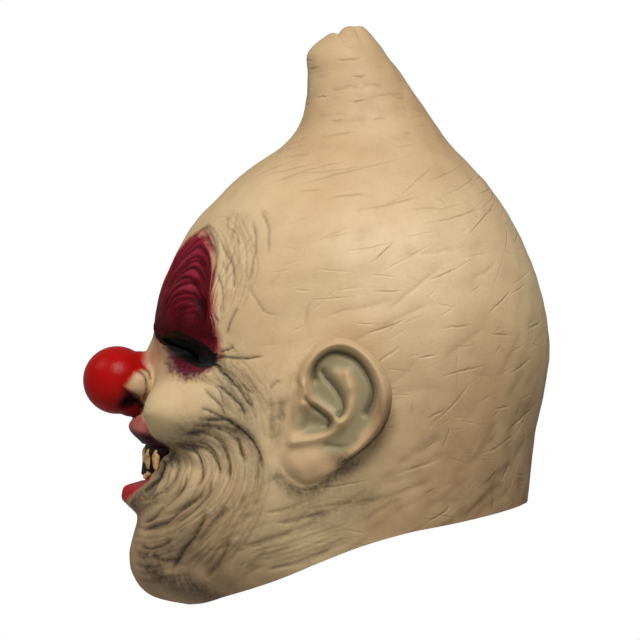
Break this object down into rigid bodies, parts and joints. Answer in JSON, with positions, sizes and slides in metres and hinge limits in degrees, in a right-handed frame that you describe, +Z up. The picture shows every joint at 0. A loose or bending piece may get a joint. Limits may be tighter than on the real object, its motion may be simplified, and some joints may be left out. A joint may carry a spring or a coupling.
{
  "type": "horror clown mask",
  "caption": "Over-the-head latex horror clown mask with pointed topknot, red ball nose, grinning mouth with teeth, large ears and a slanted open neck.",
  "frame": {"origin": "where the mask bears on the crown of the wearer's head, on the midline under the hollow topknot", "axes": "+Z up when worn, -Y the way the face looks, +X to the mask's own left"},
  "size_m": [0.2188, 0.279, 0.346],
  "materials": {
    "latex_skin": "satin painted latex, aged flesh tone with red nose, lips and brows",
    "mouth_lining": "satin, near-black red",
    "eye_gauze": "matt black open gauze",
    "tooth_latex": "semi-gloss, yellowed ivory"
  },
  "bodies": {
    "root": {"latex_skin": "latex_skin", "mouth_lining": "mouth_lining", "eye_gauze_left": "eye_gauze", "eye_gauze_right": "eye_gauze", "upper_tooth_front_left": "tooth_latex", "upper_tooth_front_right": "tooth_latex", "upper_tooth_middle_left": "tooth_latex", "upper_tooth_middle_right": "tooth_latex", "upper_tooth_back_left": "tooth_latex", "upper_tooth_back_right": "tooth_latex", "lower_tooth_front_left": "tooth_latex", "lower_tooth_front_right": "tooth_latex", "lower_tooth_back_left": "tooth_latex", "lower_tooth_back_right": "tooth_latex"}
  },
  "joints": []
}
